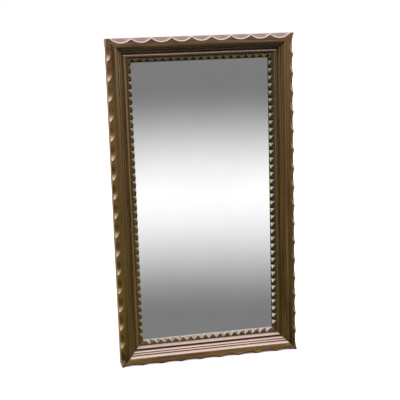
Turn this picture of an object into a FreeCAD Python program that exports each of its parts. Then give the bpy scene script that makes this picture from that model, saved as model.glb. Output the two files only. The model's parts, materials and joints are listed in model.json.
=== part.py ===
import FreeCAD, Part
import math
import os

Vector = FreeCAD.Vector

# Outside of the frame
frame_width = 566.0
frame_height = 1005.0
frame_depth = 54.0

# Moulding face from the outer edge inward: flat band, ovolo, two reeds behind quirks, groove and bead
band_width = 23.3
ovolo_run = 8.1
ovolo_drop = 7.0
ovolo_rise = 1.4
reed_quirk_width = 1.8
reed_quirk_drop = 2.4
upper_reed_run = 4.0
upper_reed_drop = 5.6
lower_reed_run = 5.0
lower_reed_drop = 7.9
reed_rise = 1.6
groove_width = 2.4
groove_drop = 4.5
bead_radius = 5.5
bead_foot = 1.8

# Gouged scallops across the outer front edge
gouge_counts = {"across": 9, "upright": 17}
gouge_face_reach = 14.2
gouge_side_reach = 16.5
gouge_cusp_inset = 2.5
corner_land = 5.0
top_corner_land = 13.0

# Carved slip round the glass
slip_quirk_width = 2.4
slip_quirk_drop = 2.8
slip_face_width = 12.5
slip_front_lip = 6.0
slip_seat_width = 14.8
slip_back_recess = 0.5
slip_clearance = 0.15
notch_counts = {"top": 19, "bottom": 17, "upright": 37}
top_notch_gap = 2.8
bottom_notch_gap = 21.1
upright_notch_start = 9.0
upright_notch_end = 24.5
notch_land = 0.8
notch_drop = 11.0
tooth_tip_width = 0.8
sight_lip = 4.0

# Glass, its packers and the board behind it
glass_thickness = 4.0
glass_rabbet_width = 7.0
glass_gap = 1.5
packer_length = 30.0
packer_inset = 0.2
board_thickness = 3.0
board_gap = 1.0

# Brads that hold the board and pins that hold the slip
brad_diameter = 1.4
brad_length = 16.0
brad_counts = {"across": 3, "upright": 5}
pin_diameter = 1.8
pin_length = 36.0
pin_counts = {"across": 2, "upright": 4}
nail_clearance = 0.03

# Loose tongues in the mitres
spline_thickness = 4.0
spline_width = 20.0
spline_outer_cover = 14.0
spline_inner_cover = 9.0
spline_front = 33.0
spline_end_gap = 0.5
spline_fit = 0.05

# Hangers on the back of the stiles
hanger_drop = 250.0
strap_width = 14.0
strap_length = 40.0
strap_thickness = 2.0
strap_eye_wall = 1.0
ring_wire = 3.0
ring_eye_clearance = 0.08
ring_lift = 0.6
ring_corner_radius = 3.0
ring_arm = 6.0
strap_side_play = 0.5
screw_shank = 3.5
screw_head = 7.0
screw_length = 18.0
screw_spacing = 11.0
screw_slot_width = 0.9
screw_slot_depth = 0.7

# Lines of the moulding and the slip: distance inward from the outer face, depth behind the front
ovolo_end = band_width + ovolo_run
ovolo_quirk_end = ovolo_end + reed_quirk_width
ovolo_quirk_depth = ovolo_drop + reed_quirk_drop
upper_reed_end = ovolo_quirk_end + upper_reed_run
upper_reed_depth = ovolo_drop + upper_reed_drop
reed_quirk_end = upper_reed_end + reed_quirk_width
reed_quirk_depth = upper_reed_depth + reed_quirk_drop
lower_reed_end = reed_quirk_end + lower_reed_run
lower_reed_depth = upper_reed_depth + lower_reed_drop
groove_end = lower_reed_end + groove_width
groove_depth = lower_reed_depth + groove_drop
face_depth = groove_depth - bead_foot
bead_end = groove_end + 2 * bead_radius
slip_start = bead_end + slip_quirk_width
slip_quirk_depth = face_depth + slip_quirk_drop
seat_depth = face_depth + slip_front_lip
seat_wall = slip_start - slip_seat_width
sight = slip_start + slip_face_width
glass_front = face_depth + notch_drop + sight_lip
glass_back = glass_front + glass_thickness
board_back = glass_back + board_thickness
rabbet_wall = sight - glass_rabbet_width
slip_back = frame_depth - slip_back_recess
top_z = seat_wall / 2

SIDES = ("top", "bottom", "left", "right")
NAMES = {"top": "top_rail", "bottom": "bottom_rail", "left": "left_stile", "right": "right_stile"}


def run_of(side):
    return "across" if side in ("top", "bottom") else "upright"


def length_of(side):
    return frame_width if run_of(side) == "across" else frame_height


# Point on a side: s along it, u inward from its outer face, d behind the front
def at(side, s, u, d):
    y = d - frame_depth
    if side == "top":
        return Vector(s - frame_width / 2, y, top_z - u)
    if side == "bottom":
        return Vector(s - frame_width / 2, y, top_z - frame_height + u)
    if side == "left":
        return Vector(u - frame_width / 2, y, top_z - s)
    return Vector(frame_width / 2 - u, y, top_z - s)


# Length with the cross-section (u, d, rise), where rise bows the edge to the next corner outward
def moulding(side, corners):
    edges = []
    for i, (u, d, rise) in enumerate(corners):
        u2, d2, _ = corners[(i + 1) % len(corners)]
        start = at(side, 0, u, d)
        end = at(side, 0, u2, d2)
        if rise:
            chord = math.hypot(u2 - u, d2 - d)
            middle_u = (u + u2) / 2 + rise * (d2 - d) / chord
            middle_d = (d + d2) / 2 - rise * (u2 - u) / chord
            edges.append(Part.Arc(start, at(side, 0, middle_u, middle_d), end).toShape())
        else:
            edges.append(Part.makeLine(start, end))
    face = Part.Face(Part.Wire(edges))
    return face.extrude(at(side, length_of(side), 0, 0) - at(side, 0, 0, 0))


# Block with the outline (s, u) between two depths
def block(side, outline, front, back):
    points = [at(side, s, u, front) for s, u in outline]
    face = Part.Face(Part.makePolygon(points + points[:1]))
    return face.extrude(Vector(0, back - front, 0))


def bar(start, end, diameter):
    along = end - start
    return Part.makeCylinder(diameter / 2, along.Length, start, along)


# Trapezoid that trims a length to its two mitres
def mitred(side, shape):
    length = length_of(side)
    reach = sight + corner_land
    outline = [(0, 0), (length, 0), (length - reach, reach), (reach, reach)]
    return shape.common(block(side, outline, -1, frame_depth + 1))


def spread(count, start, end):
    pitch = (end - start) / count
    return pitch, [start + pitch * (i + 0.5) for i in range(count)]


def gouges(side):
    land = top_corner_land if side == "top" else corner_land
    pitch, centres = spread(gouge_counts[run_of(side)], land, length_of(side) - land)
    slant = math.hypot(gouge_face_reach, gouge_side_reach)
    lean_u = gouge_side_reach / slant
    lean_d = gouge_face_reach / slant
    middle_depth = gouge_face_reach * lean_u
    sag = middle_depth - gouge_cusp_inset * lean_u
    radius = (pitch ** 2 / 4 + sag ** 2) / (2 * sag)
    stand_off = radius - middle_depth
    cuts = []
    for s in centres:
        outer = at(side, s, -stand_off * lean_u - slant * lean_d, -stand_off * lean_d + slant * lean_u)
        inner = at(side, s, -stand_off * lean_u + slant * lean_d, -stand_off * lean_d - slant * lean_u)
        cuts.append(bar(outer, inner, 2 * radius))
    return cuts


# Notch count on a side and the gaps from the two sight corners to the first and last valley
def notch_row(side):
    if side == "top":
        return notch_counts["top"], top_notch_gap, top_notch_gap
    if side == "bottom":
        return notch_counts["bottom"], bottom_notch_gap, bottom_notch_gap
    return notch_counts["upright"], upright_notch_start, upright_notch_end


def notches(side):
    count, start_gap, end_gap = notch_row(side)
    pitch = (length_of(side) - 2 * sight - start_gap - end_gap) / (count - 1)
    centres = [sight + start_gap + pitch * i for i in range(count)]
    half = (pitch - tooth_tip_width) / 2
    run = slip_face_width - notch_land
    apex_u = slip_start + notch_land - run / 2
    apex_d = face_depth - notch_drop / 2
    cuts = []
    for s in centres:
        points = [at(side, s, apex_u, apex_d)]
        points.append(at(side, s + 3 * half, apex_u + 3 * run, apex_d))
        points.append(at(side, s - 3 * half, apex_u + 3 * run, apex_d))
        face = Part.Face(Part.makePolygon(points + points[:1]))
        cuts.append(face.extrude(at(side, s, 2 * run, 2 * notch_drop) - at(side, s, 0, 0)))
    return cuts


def splines(grow, end_gap):
    half = (spline_width / 2 + end_gap) / math.sqrt(2)
    first = spline_outer_cover - end_gap
    last = seat_wall - spline_inner_cover + end_gap
    outline = [(first - half, first + half), (first + half, first - half)]
    outline += [(last + half, last - half), (last - half, last + half)]
    pieces = {}
    for row in ("top", "bottom"):
        for column in ("left", "right"):
            points = outline
            if column == "right":
                points = [(frame_width - s, u) for s, u in outline]
            back = spline_front + spline_thickness
            pieces[row, column] = block(row, points, spline_front - grow, back + grow)
    return pieces


def slip_pins(side, diameter):
    _, centres = spread(pin_counts[run_of(side)], sight, length_of(side) - sight)
    outer = rabbet_wall - pin_length
    d = (board_back + slip_back) / 2
    return [bar(at(side, s, outer, d), at(side, s, rabbet_wall, d), diameter) for s in centres]


def brads(side, diameter):
    _, centres = spread(brad_counts[run_of(side)], sight, length_of(side) - sight)
    d = board_back + brad_diameter / 2 + nail_clearance
    inner = rabbet_wall + brad_length / 2
    return [bar(at(side, s, inner - brad_length, d), at(side, s, inner, d), diameter) for s in centres]


def frame_member(side):
    corners = [(0, frame_depth, 0), (0, 0, 0)]
    corners += [(band_width, 0, ovolo_rise), (ovolo_end, ovolo_drop, 0), (ovolo_end, ovolo_quirk_depth, 0)]
    corners += [(ovolo_quirk_end, ovolo_quirk_depth, 0), (ovolo_quirk_end, ovolo_drop, reed_rise)]
    corners += [(upper_reed_end, upper_reed_depth, 0), (upper_reed_end, reed_quirk_depth, 0)]
    corners += [(reed_quirk_end, reed_quirk_depth, 0), (reed_quirk_end, upper_reed_depth, reed_rise)]
    corners += [(lower_reed_end, lower_reed_depth, 0), (lower_reed_end, groove_depth, 0)]
    corners += [(groove_end, groove_depth, 0), (groove_end, face_depth, bead_radius)]
    corners += [(bead_end, face_depth, 0), (bead_end, slip_quirk_depth, 0)]
    corners += [(slip_start, slip_quirk_depth, 0), (slip_start, seat_depth, 0)]
    corners += [(seat_wall, seat_depth, 0), (seat_wall, frame_depth, 0)]
    shape = mitred(side, moulding(side, corners)).cut(gouges(side))
    slots = splines(spline_fit, spline_end_gap)
    cuts = [slots[corner] for corner in slots if side in corner]
    cuts += slip_pins(side, pin_diameter + 2 * nail_clearance)
    if run_of(side) == "upright":
        cuts += [screw_hole(hanger_x(side), z) for z in screw_heights()]
    return shape.cut(cuts)


def slip_member(side):
    front_edge = slip_start + slip_clearance
    back_edge = seat_wall + slip_clearance
    corners = [(front_edge, face_depth, 0), (sight, face_depth, 0), (sight, glass_front, 0)]
    corners += [(rabbet_wall, glass_front, 0), (rabbet_wall, slip_back, 0), (back_edge, slip_back, 0)]
    corners += [(back_edge, seat_depth, 0), (front_edge, seat_depth, 0)]
    cuts = notches(side)
    cuts += slip_pins(side, pin_diameter + 2 * nail_clearance)
    cuts += brads(side, brad_diameter + 2 * nail_clearance)
    return mitred(side, moulding(side, corners)).cut(cuts)


def sheet(edge, front, back):
    outline = [(edge, edge), (frame_width - edge, edge)]
    outline += [(frame_width - edge, frame_height - edge), (edge, frame_height - edge)]
    return block("top", outline, front, back)


def glass_packers():
    blocks = []
    for side in SIDES:
        for share in (0.2, 0.8):
            middle = sight + share * (length_of(side) - 2 * sight)
            start = middle - packer_length / 2
            end = middle + packer_length / 2
            inner = rabbet_wall + glass_gap
            outline = [(start, rabbet_wall), (end, rabbet_wall), (end, inner), (start, inner)]
            blocks.append(block(side, outline, glass_front, glass_back - packer_inset))
    return blocks


def hanger_x(side):
    offset = frame_width / 2 - seat_wall / 2
    return -offset if side == "left" else offset


def hanger_z():
    return top_z - hanger_drop


def pivot_y():
    return strap_thickness + ring_lift + ring_wire / 2


def screw_heights():
    lower = hanger_z() - strap_length + strap_width / 2
    return (lower, lower + screw_spacing)


# Shank and countersunk head, grown by a clearance where they make a hole
def screw_form(x, z, clearance):
    top = Vector(x, strap_thickness, z)
    into = Vector(0, -1, 0)
    shank_radius = screw_shank / 2 + clearance
    head_radius = screw_head / 2 + clearance
    shank = Part.makeCylinder(shank_radius, screw_length, top, into)
    head = Part.makeCone(head_radius, shank_radius, head_radius - shank_radius, top, into)
    return shank.fuse(head).removeSplitter()


def screw_hole(x, z):
    return screw_form(x, z, nail_clearance)


def screw(x, z):
    slot = Part.makeBox(screw_head, screw_slot_depth, screw_slot_width)
    slot.translate(Vector(x - screw_head / 2, strap_thickness - screw_slot_depth, z - screw_slot_width / 2))
    return screw_form(x, z, 0).cut(slot)


def hanger_strap(side):
    x = hanger_x(side)
    z = hanger_z()
    eye_inner = ring_wire / 2 + ring_eye_clearance
    eye_outer = eye_inner + strap_eye_wall
    half = strap_width / 2
    foot = z - strap_length + half
    plate = Part.makeBox(strap_width, strap_thickness, z - foot)
    plate.translate(Vector(x - half, 0, foot))
    rounded_end = Part.makeCylinder(half, strap_thickness, Vector(x, 0, foot), Vector(0, 1, 0))
    pivot = Vector(x - half, pivot_y(), z)
    eye = Part.makeCylinder(eye_outer, strap_width, pivot, Vector(1, 0, 0))
    neck = Part.makeBox(strap_width, pivot_y(), eye_outer)
    neck.translate(Vector(x - half, 0, z))
    strap = plate.fuse([rounded_end, eye, neck])
    cuts = [Part.makeCylinder(eye_inner, strap_width, pivot, Vector(1, 0, 0))]
    cuts += [screw_hole(x, screw_z) for screw_z in screw_heights()]
    return strap.cut(cuts).removeSplitter()


# Arc of round wire in the plane of the ring, from one angle to another measured from +X towards -Z
def wire_arc(centre, radius, start, end):
    spine = Part.makeCircle(radius, centre, Vector(0, 1, 0), start, end)
    vertex = spine.valueAt(spine.FirstParameter)
    tangent = spine.tangentAt(spine.FirstParameter)
    section = Part.Wire(Part.makeCircle(ring_wire / 2, vertex, tangent))
    return Part.Wire(spine).makePipeShell([section], True, True)


def d_ring(side):
    centre = Vector(hanger_x(side), pivot_y(), hanger_z())
    half_bar = strap_width / 2 + strap_side_play
    arm_x = half_bar + ring_corner_radius
    arm_end = ring_corner_radius + ring_arm

    def spot(x, z):
        return centre + Vector(x, 0, z)

    pieces = [bar(spot(-half_bar, 0), spot(half_bar, 0), ring_wire)]
    for way, start in ((1, 270), (-1, 180)):
        corner = spot(way * half_bar, -ring_corner_radius)
        pieces.append(wire_arc(corner, ring_corner_radius, start, start + 90))
        pieces.append(bar(spot(way * arm_x, -ring_corner_radius), spot(way * arm_x, -arm_end), ring_wire))
    pieces.append(wire_arc(spot(0, -arm_end), arm_x, 0, 180))
    return pieces[0].fuse(pieces[1:]).removeSplitter()


def save(name, shapes):
    shape = shapes[0] if len(shapes) == 1 else Part.makeCompound(shapes)
    shape.exportStep("parts/" + name + ".step")


os.makedirs("parts", exist_ok=True)
for side in SIDES:
    save(NAMES[side], [frame_member(side)])
    save(side + "_slip", [slip_member(side)])
for corner, spline in splines(0, 0).items():
    save("mitre_spline_" + "_".join(corner), [spline])
save("mirror_glass", [sheet(rabbet_wall + glass_gap, glass_front, glass_back)])
save("glass_packers", glass_packers())
save("backing_board", [sheet(rabbet_wall + board_gap, glass_back, board_back)])
save("backing_brads", [brad for side in SIDES for brad in brads(side, brad_diameter)])
save("slip_pins", [pin for side in SIDES for pin in slip_pins(side, pin_diameter)])
hanger_screws = []
for side in ("left", "right"):
    save("hanger_strap_" + side, [hanger_strap(side)])
    save("ring_" + side, [d_ring(side)])
    hanger_screws += [screw(hanger_x(side), z) for z in screw_heights()]
save("hanger_screws", hanger_screws)
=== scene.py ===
import json
import bpy
from mathutils import Matrix, Vector

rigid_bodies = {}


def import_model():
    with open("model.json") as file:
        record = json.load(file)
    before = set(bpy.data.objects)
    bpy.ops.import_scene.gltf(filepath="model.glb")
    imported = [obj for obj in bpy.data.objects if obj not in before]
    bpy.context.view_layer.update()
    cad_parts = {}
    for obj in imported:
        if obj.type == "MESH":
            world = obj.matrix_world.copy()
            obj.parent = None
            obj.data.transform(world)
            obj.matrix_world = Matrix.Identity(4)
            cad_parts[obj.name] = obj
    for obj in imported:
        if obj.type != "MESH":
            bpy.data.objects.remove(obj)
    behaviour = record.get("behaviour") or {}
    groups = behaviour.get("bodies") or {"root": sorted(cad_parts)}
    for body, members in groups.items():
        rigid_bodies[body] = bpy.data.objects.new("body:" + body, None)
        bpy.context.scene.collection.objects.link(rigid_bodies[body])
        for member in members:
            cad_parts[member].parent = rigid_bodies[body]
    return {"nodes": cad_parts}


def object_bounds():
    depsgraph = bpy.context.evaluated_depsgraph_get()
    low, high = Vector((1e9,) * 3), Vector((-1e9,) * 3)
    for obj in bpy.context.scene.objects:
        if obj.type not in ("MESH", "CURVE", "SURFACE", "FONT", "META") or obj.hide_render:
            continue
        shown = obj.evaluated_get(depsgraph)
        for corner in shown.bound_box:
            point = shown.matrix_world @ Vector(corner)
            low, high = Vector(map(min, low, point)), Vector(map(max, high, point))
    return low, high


# Carved wooden wall mirror. Every solid comes from the CAD frame.
# This script adds the materials, the floor, the light and the camera.

for leftover in list(bpy.data.objects):
    bpy.data.objects.remove(leftover)

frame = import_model()
cad_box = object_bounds()
nodes = frame["nodes"]
scene = bpy.context.scene
scene.view_settings.view_transform = "Standard"
FOOT_Z = cad_box[0].z
HEAD_Z = cad_box[1].z
SIDE_X = cad_box[1].x


# Node graph helpers

def add(tree, kind, sockets=None, **settings):
    """A shader node. Sockets take another node's output or a plain value."""
    node = tree.nodes.new("ShaderNode" + kind)
    for key, value in settings.items():
        setattr(node, key, value)
    for key, value in (sockets or {}).items():
        if isinstance(value, bpy.types.NodeSocket):
            tree.links.new(value, node.inputs[key])
        else:
            node.inputs[key].default_value = value
    return node


def noise(tree, vector, scale=1.0, detail=4.0, rough=0.55, warp=0.0):
    sockets = {"Vector": vector, "Scale": scale, "Detail": detail, "Roughness": rough, "Distortion": warp}
    return add(tree, "TexNoise", sockets).outputs["Fac"]


def mapped(tree, vector, scale=(1, 1, 1), shift=(0, 0, 0)):
    return add(tree, "Mapping", {"Vector": vector, "Location": shift, "Scale": scale}).outputs["Vector"]


def span(tree, value, low, high, to_low=0.0, to_high=1.0):
    """Stretch low..high to a new range, clamped."""
    sockets = {"Value": value, "From Min": low, "From Max": high, "To Min": to_low, "To Max": to_high}
    return add(tree, "MapRange", sockets).outputs["Result"]


def math(tree, operation, a, b=0.0):
    return add(tree, "Math", {0: a, 1: b}, operation=operation).outputs["Value"]


def plus(tree, a, b):
    return math(tree, "ADD", a, b)


def minus(tree, a, b):
    return math(tree, "SUBTRACT", a, b)


def times(tree, a, b):
    return math(tree, "MULTIPLY", a, b)


def dot(tree, a, b):
    return add(tree, "VectorMath", {0: a, 1: b}, operation="DOT_PRODUCT").outputs["Value"]


def parts_of(tree, vector):
    return add(tree, "SeparateXYZ", {0: vector}).outputs


def ramp(tree, factor, stops, interpolation="LINEAR"):
    """Colour ramp through (place, colour) stops given in rising order."""
    node = add(tree, "ValToRGB", {"Fac": factor})
    node.color_ramp.interpolation = interpolation
    elements = node.color_ramp.elements
    elements[0].position = stops[0][0]
    elements[1].position = stops[-1][0]
    for place, _ in stops[1:-1]:
        elements.new(place)
    for element, (_, colour) in zip(elements, stops):
        element.color = (*colour, 1.0)
    return node.outputs["Color"]


MIX_FACTOR, MIX_A, MIX_B, MIX_RESULT = 0, 6, 7, 2


def blend(tree, factor, a, b, mode="MIX"):
    """Mix two colours. Each is another node's output or plain red, green and blue."""
    a, b = (value if isinstance(value, bpy.types.NodeSocket) else (*value, 1.0) for value in (a, b))
    sockets = {MIX_FACTOR: factor, MIX_A: a, MIX_B: b}
    return add(tree, "Mix", sockets, data_type="RGBA", blend_type=mode).outputs[MIX_RESULT]


def surface(name):
    material = bpy.data.materials.new(name)
    material.use_nodes = True
    tree = material.node_tree
    tree.nodes.clear()
    shader = add(tree, "BsdfPrincipled")
    add(tree, "OutputMaterial", {"Surface": shader.outputs["BSDF"]})
    place = add(tree, "TexCoord").outputs["Object"]
    return material, tree, shader, place


def finish_surface(tree, shader, colour, roughness, height, depth, normal=None):
    tree.links.new(colour, shader.inputs["Base Color"])
    tree.links.new(roughness, shader.inputs["Roughness"])
    bump = add(tree, "Bump", {"Height": height, "Distance": depth, "Strength": 1.0})
    if normal:
        tree.links.new(normal, bump.inputs["Normal"])
    tree.links.new(bump.outputs["Normal"], shader.inputs["Normal"])


def dress(name, material):
    nodes[name].data.materials.clear()
    nodes[name].data.materials.append(material)


def grey(level):
    return (level, level, level)


# Carved wood. Lengths are in metres, and colours are linear.

ALONG_X = 0
ALONG_Z = 2
ARRIS_RADIUS = 0.0006
HOLLOW_REACH = 0.008
TOOL_DEPTH = 0.0002
STRIP_SOFTNESS = 0.001
FRONT_EDGE_Y = (-0.0505, -0.0535)
RAW_BACK_Y = (-0.0016, -0.0006)
RAW_BACK_WANDER = 0.001
OUTER_SIDE_X = (SIDE_X - 0.0003, SIDE_X - 0.0001)
# Stile colour by height: darker and less blue towards the bottom, with painted shade in the lowest few
# centimetres
STILE_HEIGHT_TINT_Z = (-0.98, -0.05)
STILE_HEIGHT_TINT = [(0.0, (0.10, 0.09, 0.06)), (0.041, (0.55, 0.55, 0.42)), (0.082, (0.70, 0.73, 0.60)),
              (0.255, (0.74, 0.77, 0.64)), (1.0, (1.0, 0.98, 1.36))]
CARVED_FACING = (-0.985, -0.90)
NOTCH_FACING = (-0.25, -0.10)
UPWARD_FACING = (0.15, 0.50)
STILE_UPWARD_FACING = (0.21, 0.50)
DOWNWARD_FACING = (-0.10, -0.45)
ARRIS_BEND = (0.99, 0.86)
FRAME_ROUGHNESS, SLIP_ROUGHNESS = 0.34, 0.30
COAT_ROUGHNESS = 0.24
COAT_IOR = 1.8
AMBER = (1.0, 0.86, 0.70)
PORE = (0.025, 0.017, 0.008)
RUBBED = (0.483, 0.326, 0.168)
RAW_WOOD = [(0.0, (0.115, 0.066, 0.030)), (1.0, (0.205, 0.132, 0.070))]
# Painted light for the outer sides of the stiles
PAINTED_SIDE_LIGHT = [(0.0, (0.130, 0.103, 0.040)), (1.0, (0.330, 0.262, 0.102))]


def along(axis, fine, coarse):
    """Texture scale with long streaks down one axis."""
    return [coarse if i == axis else fine for i in range(3)]


def carved_wood(name, shift, axis, stain, tone, lacquer, painted_hollow, up=None, down=None, rim=None, strips=()):
    """Brown lacquered wood with its grain down one axis, painted light and shade, rubbed arrises and a raw
    back.

    up and down are (colour, weight) of the carved faces that look up and down: painted light on those that
    look up, and on those that look down painted shade on a slip and painted light on a rail or stile. rim is
    the same for the front edge of those that look up, or on a slip for the faces square to the front: a
    painted highlight. The hollow
    colour is (colour, low, high, weight): full in hollows less open than low, none past high; it is painted
    shade, and painted light on the stiles. strips are (colour, weight, low, high): painted highlights and
    painted shade in bands, with low and high measured inward from the outer edge of the frame.
    """
    slip = name.endswith("slip")
    stile = axis == ALONG_Z and not slip
    painted_hollow_colour, hollow_low, hollow_high, painted_hollow_weight = painted_hollow
    material, tree, shader, place = surface(name + "_wood")

    # Patterns
    figure = noise(tree, mapped(tree, place, along(axis, 30, 1.6), shift), detail=5.0, rough=0.6, warp=0.9)
    streak = noise(tree, mapped(tree, place, along(axis, 150, 3.5), shift), detail=6.0, rough=0.62, warp=0.3)
    pore = noise(tree, mapped(tree, place, along(axis, 900, 16), shift), detail=2.0)
    cloud = noise(tree, mapped(tree, place, shift=shift), scale=11.0, detail=3.0)
    tool = noise(tree, place, scale=70.0, detail=2.0)
    pits = span(tree, pore, 0.60, 0.70)
    grain = span(tree, times(tree, plus(tree, figure, streak), 0.5), 0.40, 0.60)

    # Place and direction
    spot = parts_of(tree, place)
    true_normal = add(tree, "NewGeometry").outputs["Normal"]
    facing = parts_of(tree, true_normal)
    rounded = add(tree, "Bevel", {"Radius": ARRIS_RADIUS}, samples=6).outputs["Normal"]
    hollow = add(tree, "AmbientOcclusion", {"Distance": HOLLOW_REACH}, samples=8).outputs["AO"]
    if axis == ALONG_Z:
        sideways = math(tree, "ABSOLUTE", spot["X"])
        inset = minus(tree, SIDE_X, sideways)
    else:
        inset = math(tree, "MINIMUM", minus(tree, spot["Z"], FOOT_Z), minus(tree, HEAD_Z, spot["Z"]))

    # Stain, painted light and shade on carved faces, and painted strips
    shades = [[tone * part for part in shade] for shade in stain]
    colour = ramp(tree, grain, list(zip((0.0, 0.5, 1.0), shades)))
    colour = blend(tree, span(tree, cloud, 0.35, 0.7, to_high=0.45), colour, AMBER, "MULTIPLY")
    carved = span(tree, facing["Y"], *CARVED_FACING)
    upward = span(tree, facing["Z"], *(STILE_UPWARD_FACING if stile else UPWARD_FACING))
    upward = times(tree, carved, upward)
    downward = times(tree, carved, span(tree, facing["Z"], *DOWNWARD_FACING))
    if slip:
        edge = span(tree, facing["Y"], *NOTCH_FACING)
    else:
        edge = times(tree, upward, span(tree, spot["Y"], *FRONT_EDGE_Y))
    # Colours by which way a carved face looks: painted light on faces that look up, a painted highlight on
    # their front rim or on a slip's lip, and on faces that look down painted shade on a slip and painted
    # light on a rail or stile
    for mask, paint in ((upward, up), (downward, down), (edge, rim)):
        if paint:
            shade, weight = paint
            colour = blend(tree, times(tree, mask, weight), colour, shade)
    # Bands along the moulding: painted highlights on beads and ovolos, painted shade in quirks and grooves
    for shade, weight, low, high in strips:
        outer = span(tree, inset, low, low + STRIP_SOFTNESS, to_high=weight)
        inner = span(tree, inset, high, high - STRIP_SOFTNESS)
        colour = blend(tree, times(tree, outer, inner), colour, shade)
    # Darker and less blue towards the bottom; the steep darkening in the lowest few centimetres is painted
    # shade
    if stile:
        height_tint = ramp(tree, span(tree, spot["Z"], *STILE_HEIGHT_TINT_Z), STILE_HEIGHT_TINT)
        colour = blend(tree, 1.0, colour, height_tint, "MULTIPLY")

    # Pores, painted shade in hollows (painted light on the stiles) and wear
    colour = blend(tree, times(tree, pits, 0.45), colour, PORE)
    # Painted shade in the hollows, from the occlusion node; the stiles get a lighter colour there, which is
    # painted light
    painted_hollow_mask = span(tree, hollow, hollow_low, hollow_high, to_low=painted_hollow_weight, to_high=0.0)
    colour = blend(tree, painted_hollow_mask, colour, painted_hollow_colour)
    arris = span(tree, dot(tree, rounded, true_normal), *ARRIS_BEND)
    arris = times(tree, arris, span(tree, hollow, 0.55, 0.8))
    worn = times(tree, arris, span(tree, cloud, 0.3, 0.65, to_low=0.15, to_high=0.6))
    colour = blend(tree, worn, colour, RUBBED)

    # Raw back, and painted light on the outer sides of the stiles
    ragged = plus(tree, spot["Y"], times(tree, streak, RAW_BACK_WANDER))
    raw = span(tree, ragged, *RAW_BACK_Y)
    colour = blend(tree, times(tree, raw, 0.9), colour, ramp(tree, grain, RAW_WOOD))
    if stile:
        # The outer sides of the stiles get a lighter olive colour, which is painted light, and lose the coat
        # like the raw back
        side = span(tree, sideways, *OUTER_SIDE_X)
        colour = blend(tree, times(tree, side, 0.95), colour, ramp(tree, grain, PAINTED_SIDE_LIGHT))
        raw = math(tree, "MAXIMUM", raw, side)

    # Gloss and relief
    smooth = SLIP_ROUGHNESS if slip else FRAME_ROUGHNESS
    rough = span(tree, streak, 0.3, 0.7, to_low=smooth - 0.06, to_high=smooth + 0.08)
    dull = span(tree, hollow, 0.25, 0.60, to_low=0.25, to_high=0.0)
    rough = plus(tree, rough, math(tree, "MAXIMUM", dull, times(tree, raw, 0.35)))
    height = plus(tree, times(tree, tool, 0.7), times(tree, streak, 0.45))
    height = minus(tree, height, times(tree, pits, 0.25))
    coat = span(tree, hollow, hollow_low, hollow_high, to_high=lacquer)
    coat = times(tree, coat, span(tree, raw, 1.0, 0.0))
    tree.links.new(coat, shader.inputs["Coat Weight"])
    shader.inputs["Coat Roughness"].default_value = COAT_ROUGHNESS
    shader.inputs["Coat IOR"].default_value = COAT_IOR
    shader.inputs["Specular IOR Level"].default_value = min(1.0, 0.32 + 1.36 * lacquer)
    finish_surface(tree, shader, colour, rough, height, TOOL_DEPTH, rounded)
    return material


UMBER = ((0.074, 0.047, 0.011), (0.166, 0.108, 0.024), (0.254, 0.168, 0.039))
ROSY = ((0.076, 0.046, 0.016), (0.170, 0.106, 0.035), (0.260, 0.165, 0.058))
RUSSET = ((0.084, 0.049, 0.011), (0.193, 0.114, 0.024), (0.294, 0.176, 0.038))
OLIVE = ((0.071, 0.047, 0.013), (0.164, 0.110, 0.030), (0.252, 0.170, 0.050))
DRAB = ((0.061, 0.047, 0.018), (0.141, 0.109, 0.043), (0.218, 0.168, 0.069))
MOSS = ((0.063, 0.050, 0.008), (0.143, 0.116, 0.019), (0.223, 0.179, 0.032))
# Painted shade for hollows and for the bands in quirks and grooves; the second one is red-brown
PAINTED_RECESS_SHADE = (0.025, 0.019, 0.008)
PAINTED_RED_RECESS_SHADE = (0.063, 0.025, 0.015)
# Painted light for the hollows of the right and the left stile
PAINTED_HOLLOW_LIGHT_RIGHT = (0.179, 0.134, 0.044)
PAINTED_HOLLOW_LIGHT_LEFT = (0.221, 0.168, 0.055)
# Painted shade for the slip faces that look down
SHADE = ((0.025, 0.029, 0.011), 0.85)
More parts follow.
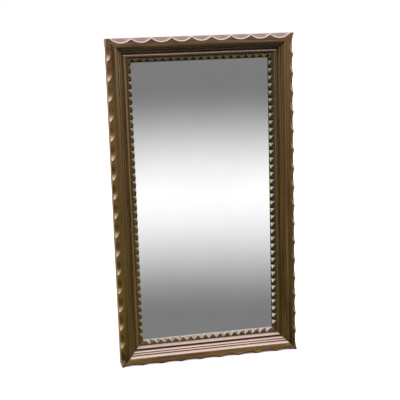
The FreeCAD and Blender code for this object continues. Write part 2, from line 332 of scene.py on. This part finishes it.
# All members are one wood; their stains and tones differ to match the brightness and hue each shows under its
# own light, so the differences between members are painted light and shade
members = {
    # Top rail: a painted highlight on the front rim of the scallops, painted shade bands over the upper reed
    # and on the inner side of the bead
    "top_rail": dict(
        axis=ALONG_X, stain=ROSY, tone=0.78, lacquer=0.40, painted_hollow=(PAINTED_RECESS_SHADE, 0.34, 0.76, 0.75),
        up=((0.109, 0.065, 0.046), 0.9), rim=((0.588, 0.525, 0.483), 0.9),
        strips=[(PAINTED_RECESS_SHADE, 0.8, 0.0318, 0.0385), (PAINTED_RECESS_SHADE, 0.7, 0.0550, 0.0580)]),
    # Bottom rail: a pale painted highlight band on the bead, and painted shade bands beside the bead, in a
    # quirk and in the groove
    "bottom_rail": dict(
        axis=ALONG_X, stain=RUSSET, tone=0.84, lacquer=1.0, painted_hollow=(PAINTED_RED_RECESS_SHADE, 0.50, 0.90, 0.95),
        up=((0.320, 0.236, 0.182), 0.65), down=((0.546, 0.399, 0.231), 0.9),
        strips=[((0.880, 0.750, 0.670), 0.9, 0.0502, 0.0538), (PAINTED_RED_RECESS_SHADE, 0.8, 0.0542, 0.0580),
                (PAINTED_RED_RECESS_SHADE, 0.8, 0.0366, 0.0394), (PAINTED_RED_RECESS_SHADE, 0.8, 0.0430, 0.0500)]),
    # Left stile: painted highlight bands on the bead and over the ovolo and upper reed
    "left_stile": dict(
        axis=ALONG_Z, stain=UMBER, tone=0.53, lacquer=0.05, painted_hollow=(PAINTED_HOLLOW_LIGHT_LEFT, 0.30, 0.75, 0.75),
        up=((0.620, 0.455, 0.265), 0.9), down=((0.263, 0.193, 0.071), 0.9),
        strips=[((0.252, 0.166, 0.061), 0.6, 0.0508, 0.0550),
                ((0.210, 0.140, 0.036), 0.2, 0.0240, 0.0372)]),
    # Right stile: painted highlight bands on the inner side of the bead and on the ovolo
    "right_stile": dict(
        axis=ALONG_Z, stain=UMBER, tone=0.52, lacquer=0.05, painted_hollow=(PAINTED_HOLLOW_LIGHT_RIGHT, 0.30, 0.75, 0.6),
        up=((0.420, 0.345, 0.205), 0.9), down=((0.263, 0.193, 0.071), 0.9),
        strips=[((0.200, 0.143, 0.059), 0.6, 0.0540, 0.0574),
                ((0.250, 0.180, 0.090), 0.18, 0.0245, 0.0312)]),
    # Slips: painted shade on faces that look down and in a band at the quirk by the bead, painted light on
    # faces that look up and on the bottom slip's lip
    "top_slip": dict(
        axis=ALONG_X, stain=DRAB, tone=0.85, lacquer=0.3, painted_hollow=(PAINTED_RECESS_SHADE, 0.34, 0.76, 0.7),
        down=SHADE, strips=[(PAINTED_RECESS_SHADE, 0.6, 0.0585, 0.0630)]),
    "bottom_slip": dict(
        axis=ALONG_X, stain=ROSY, tone=0.76, lacquer=0.6, painted_hollow=(PAINTED_RECESS_SHADE, 0.32, 0.68, 0.6),
        up=((0.105, 0.101, 0.065), 0.85), down=SHADE, rim=((0.231, 0.221, 0.168), 0.85)),
    "left_slip": dict(
        axis=ALONG_Z, stain=OLIVE, tone=0.38, lacquer=0.05, painted_hollow=(PAINTED_RECESS_SHADE, 0.32, 0.68, 0.6),
        up=((0.063, 0.071, 0.038), 0.85), down=SHADE, strips=[(PAINTED_RECESS_SHADE, 0.4, 0.0585, 0.0625)]),
    "right_slip": dict(
        axis=ALONG_Z, stain=MOSS, tone=0.27, lacquer=0.25, painted_hollow=(PAINTED_RECESS_SHADE, 0.32, 0.68, 0.6),
        up=((0.250, 0.275, 0.175), 0.85), down=SHADE, strips=[(PAINTED_RECESS_SHADE, 0.5, 0.0585, 0.0672)]),
}
PATTERN_STEP = (3.1, 1.7, 2.3)
for count, (name, look) in enumerate(members.items()):
    shift = [count * step for step in PATTERN_STEP]
    dress(name, carved_wood(name, shift, **look))
    # The glass in the photograph shows no trace of the slips
    nodes[name].visible_glossy = not name.endswith("slip")


# Glass, back, packers, tongues and metal

RAW_WOOD_DEPTH = 0.0003
HARDBOARD_DEPTH = 0.0005
STEEL_DEPTH = 0.00008
GLASS_DEPTH = 0.0002
ZINC = ((0.36, 0.34, 0.31), (0.62, 0.61, 0.59))
BRASS = ((0.34, 0.26, 0.13), (0.66, 0.53, 0.28))
TARNISH = (0.16, 0.085, 0.04)


def bare_wood(name, axis):
    material, tree, shader, place = surface(name)
    streak = noise(tree, mapped(tree, place, along(axis, 260, 8)), detail=5.0)
    colour = ramp(tree, streak, [(0.3, (0.33, 0.21, 0.10)), (0.7, (0.55, 0.40, 0.23))])
    rough = span(tree, streak, 0.3, 0.7, to_low=0.55, to_high=0.75)
    finish_surface(tree, shader, colour, rough, streak, RAW_WOOD_DEPTH)
    return material


def hardboard():
    material, tree, shader, place = surface("hardboard")
    fibre = noise(tree, place, scale=420.0, rough=0.7, warp=1.5)
    cloud = noise(tree, place, scale=9.0)
    mesh = add(tree, "TexVoronoi", {"Vector": place, "Scale": 520.0}).outputs["Distance"]
    colour = ramp(tree, fibre, [(0.3, (0.13, 0.072, 0.034)), (0.7, (0.31, 0.19, 0.10))])
    colour = blend(tree, span(tree, cloud, 0.3, 0.7, to_high=0.4), colour, (0.75, 0.68, 0.6), "MULTIPLY")
    rough = span(tree, fibre, 0.3, 0.7, to_low=0.72, to_high=0.9)
    height = plus(tree, times(tree, fibre, 0.6), times(tree, mesh, 0.5))
    finish_surface(tree, shader, colour, rough, height, HARDBOARD_DEPTH)
    return material


def plated_steel(name, shift, dull, bright):
    material, tree, shader, place = surface(name)
    scratch = noise(tree, mapped(tree, place, (2600, 900, 260), shift), detail=3.0)
    cloud = noise(tree, mapped(tree, place, shift=shift), scale=240.0, detail=5.0, rough=0.65)
    colour = ramp(tree, cloud, [(0.3, dull), (0.62, bright)])
    colour = blend(tree, span(tree, cloud, 0.68, 0.78, to_high=0.6), colour, TARNISH)
    rough = span(tree, cloud, 0.3, 0.7, to_low=0.24, to_high=0.42)
    rough = plus(tree, rough, span(tree, scratch, 0.3, 0.7, to_high=0.1))
    height = plus(tree, times(tree, scratch, 0.5), times(tree, cloud, 0.6))
    shader.inputs["Metallic"].default_value = 1.0
    finish_surface(tree, shader, colour, rough, height, STEEL_DEPTH)
    return material


def silvered_glass():
    """A bright mirror, a little uneven, as old float glass is."""
    material, tree, shader, place = surface("silvered_glass")
    cloud = noise(tree, place, scale=6.0)
    wave = noise(tree, place, scale=3.0, detail=1.0)
    colour = ramp(tree, cloud, [(0.3, (0.945, 0.949, 0.948)), (0.7, (0.985, 0.988, 0.987))])
    tree.links.new(colour, shader.inputs["Base Color"])
    shader.inputs["Metallic"].default_value = 1.0
    shader.inputs["Roughness"].default_value = 0.0
    bump = add(tree, "Bump", {"Height": wave, "Distance": GLASS_DEPTH})
    tree.links.new(bump.outputs["Normal"], shader.inputs["Normal"])
    return material


own_looks = {
    "mirror_glass": silvered_glass(),
    "backing_board": hardboard(),
    "glass_packers": bare_wood("packer_wood", ALONG_X),
    "hanger_screws": plated_steel("screw_steel", (2, 7, 4), *BRASS),
}
tongue = bare_wood("tongue_wood", ALONG_X)
steel = plated_steel("plated_steel", (0, 0, 0), *ZINC)
ring_steel = plated_steel("ring_steel", (5, 3, 1), *ZINC)
for name in nodes:
    if name.startswith("mitre_spline"):
        dress(name, tongue)
    elif name.startswith("ring"):
        dress(name, ring_steel)
    elif name not in members:
        dress(name, own_looks.get(name, steel))


# Floor: pale to the camera, and darker to other rays, most of all in front of the object

FLOOR_REACH = 40.0
FLOOR_DEPTH = 0.0002
FRONT_BOUNCE = (0.050, 0.055, 0.036)
FOOT_BOUNCE = (0.24, 0.22, 0.18)
FOOT_BOUNCE_Y = (-0.30, -0.10)
floor_mesh = bpy.data.meshes.new("floor")
corners = [(x * FLOOR_REACH, y * FLOOR_REACH, FOOT_Z) for x, y in ((-1, -1), (1, -1), (1, 1), (-1, 1))]
floor_mesh.from_pydata(corners, [], [(0, 1, 2, 3)])
floor = bpy.data.objects.new("floor", floor_mesh)
scene.collection.objects.link(floor)
floor.visible_glossy = False
pale, tree, shader, place = surface("pale_floor")
speck = noise(tree, place, scale=30.0, detail=3.0)
seen = add(tree, "LightPath").outputs["Is Camera Ray"]
near = span(tree, parts_of(tree, place)["Y"], *FOOT_BOUNCE_Y)
bounce = blend(tree, near, FRONT_BOUNCE, FOOT_BOUNCE)
floor_colour = blend(tree, seen, bounce, ramp(tree, speck, [(0.3, grey(0.86)), (0.7, grey(0.90))]))
shader.inputs["Specular IOR Level"].default_value = 0.0
rough = span(tree, speck, 0.3, 0.7, to_low=0.8, to_high=0.95)
finish_surface(tree, shader, floor_colour, rough, speck, FLOOR_DEPTH)
floor_mesh.materials.append(pale)


# World: a soft overhead dome with side and rear fills, a grey backdrop for the mirror,
# and white for the camera. Limits are parts of the unit direction: X to the right, Y to the rear, Z up.

DOME_LIGHT = 2.74
GROUND_LIGHT = 0.015
LEFT_FILL = 0.86
RIGHT_FILL = 2.95
REAR_FILL = 1.9
MIRRORED_LIGHT = 1.03
MIRROR_RAY_DEPTH = 2.5
WHITE = (1.0, 1.0, 1.0, 1.0)
FILL_TINT = (1.0, 0.91, 0.90, 1.0)
KEY_WAY = Vector((-0.57, -0.02, 0.82)).normalized()
KEY_CONE = (0.86, 0.97)
KEY_GAIN = 2.4
RIGHT_X = (0.40, 0.70)
LEFT_X = (-0.40, -0.70)
FRONT_Y = (0.15, -0.10)
REAR_Y = (0.30, 0.60)
FILL_TOP = (0.55, 0.45)
HORIZON = (-0.001, 0.001)
BACKDROP_RISE = (-0.70, 0.0)
DOME = [(0.0, grey(0.02)), (0.30, grey(0.04)), (0.45, (0.60, 0.55, 0.56)), (0.55, (1.0, 0.89, 0.91)),
        (0.80, (1.0, 0.89, 0.91)), (0.95, (0.78, 0.695, 0.71)), (1.0, (0.72, 0.64, 0.655))]
BACKDROP = [(0.25, grey(0.85)), (0.42, grey(0.20)), (0.55, grey(0.20)), (0.73, grey(1.0)), (0.90, grey(0.20))]


def glow(tree, colour, strength):
    return add(tree, "Background", {"Color": colour, "Strength": strength}).outputs["Background"]


def either(tree, factor, a, b):
    return add(tree, "MixShader", {0: factor, 1: a, 2: b}).outputs["Shader"]


world = bpy.data.worlds.new("studio")
scene.world = world
world.use_nodes = True
tree = world.node_tree
tree.nodes.clear()
heading = add(tree, "TexCoord").outputs["Generated"]
way = parts_of(tree, heading)
rise = way["Z"]
ray = add(tree, "LightPath").outputs

lean = span(tree, way["Y"], 0.5, -0.7, to_low=0.40, to_high=1.25)
lean = times(tree, lean, span(tree, way["X"], 0.7, -0.7, to_low=1.10, to_high=0.90))
key = span(tree, dot(tree, heading, KEY_WAY), *KEY_CONE, to_low=1.0, to_high=KEY_GAIN)
lean = times(tree, lean, key)
dome = glow(tree, ramp(tree, rise, DOME), times(tree, lean, DOME_LIGHT))
right = span(tree, way["X"], *RIGHT_X, to_high=RIGHT_FILL)
left = span(tree, way["X"], *LEFT_X, to_high=LEFT_FILL)
rear = span(tree, way["Y"], *REAR_Y, to_high=REAR_FILL)
in_front = span(tree, way["Y"], *FRONT_Y)
fill = plus(tree, times(tree, plus(tree, right, left), in_front), rear)
fill = times(tree, fill, span(tree, rise, *FILL_TOP))
sky = add(tree, "AddShader", {0: dome, 1: glow(tree, FILL_TINT, fill)}).outputs["Shader"]
surround = either(tree, span(tree, rise, *HORIZON), glow(tree, WHITE, GROUND_LIGHT), sky)

backdrop = ramp(tree, span(tree, rise, *BACKDROP_RISE), BACKDROP, "EASE")
first = math(tree, "LESS_THAN", ray["Ray Depth"], MIRROR_RAY_DEPTH)
in_glass = times(tree, ray["Is Singular Ray"], first)
surround = either(tree, in_glass, surround, glow(tree, backdrop, MIRRORED_LIGHT))

level = times(tree, span(tree, rise, 0.35, 0.25), span(tree, rise, -0.60, -0.45))
behind = times(tree, span(tree, way["Y"], 0.6, 0.9, to_high=0.4), level)
glint = math(tree, "MAXIMUM", ray["Is Glossy Ray"], ray["Is Transmission Ray"])
sees_white = math(tree, "MAXIMUM", ray["Is Camera Ray"], times(tree, glint, behind))
shown = either(tree, sees_white, surround, glow(tree, WHITE, 1.0))
add(tree, "OutputWorld", {"Surface": shown})


# Camera at the photograph's viewpoint

LENS_MM = 81.77
SENSOR_MM = 36.0
EYE = (-0.57775, -2.712, 0.066)
RIGHT = Vector((0.977018, -0.210966, -0.030477))
DOWN = Vector((-0.070122, -0.183083, -0.980593))
FORWARD = Vector((0.201292, 0.960195, -0.193669))
camera_data = bpy.data.cameras.new("camera")
camera_data.lens = LENS_MM
camera_data.sensor_width = SENSOR_MM
camera = bpy.data.objects.new("camera", camera_data)
turn = Matrix((RIGHT, -DOWN, -FORWARD)).transposed().to_4x4()
camera.matrix_world = Matrix.Translation(EYE) @ turn
scene.collection.objects.link(camera)
scene.camera = camera
